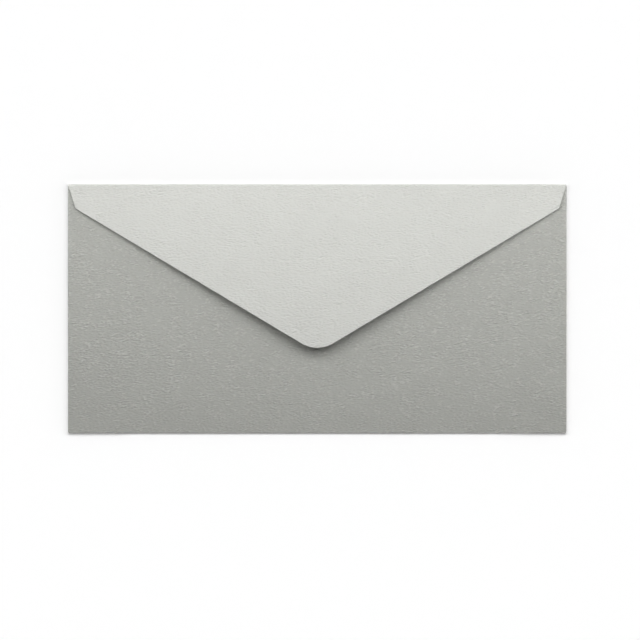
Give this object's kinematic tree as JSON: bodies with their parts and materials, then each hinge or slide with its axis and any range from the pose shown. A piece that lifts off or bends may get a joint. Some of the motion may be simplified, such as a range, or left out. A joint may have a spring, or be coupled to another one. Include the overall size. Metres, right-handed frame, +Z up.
{
  "type": "envelope",
  "caption": "Long wallet envelope of grained paper with a pointed gummed flap that turns about its top fold.",
  "frame": {"origin": "on the surface the envelope lies on, under the middle of its 220 by 110 mm outline", "axes": "+X along the long side, to the right with the flap side up; +Y towards the top fold; +Z up, out of the flap side"},
  "size_m": [0.22, 0.11, 0.0067],
  "materials": {
    "pocket_paper": "matt, fine embossed grain, mid grey",
    "flap_paper": "matt, fine embossed grain, light grey",
    "seam_glue": "dried water-based glue, slight sheen",
    "flap_gum": "dried remoistenable gum, thin clear film with a soft gloss"
  },
  "bodies": {
    "pocket": {"front_panel": "pocket_paper", "back_panel": "pocket_paper", "bottom_fold": "pocket_paper", "left_fold": "pocket_paper", "right_fold": "pocket_paper", "left_side_flap": "pocket_paper", "right_side_flap": "pocket_paper", "left_seam_glue": "seam_glue", "right_seam_glue": "seam_glue", "top_fold": "flap_paper"},
    "flap": {"seal_flap": "flap_paper", "seal_gum": "flap_gum"}
  },
  "joints": [
    {"name": "flap_fold", "type": "hinge", "parent": "pocket", "child": "flap", "pos_m": [0, 0.05456, 0.00088], "axis": [-1, 0, 0], "range_deg": [-4, 176], "deforming": ["top_fold"]}
  ]
}
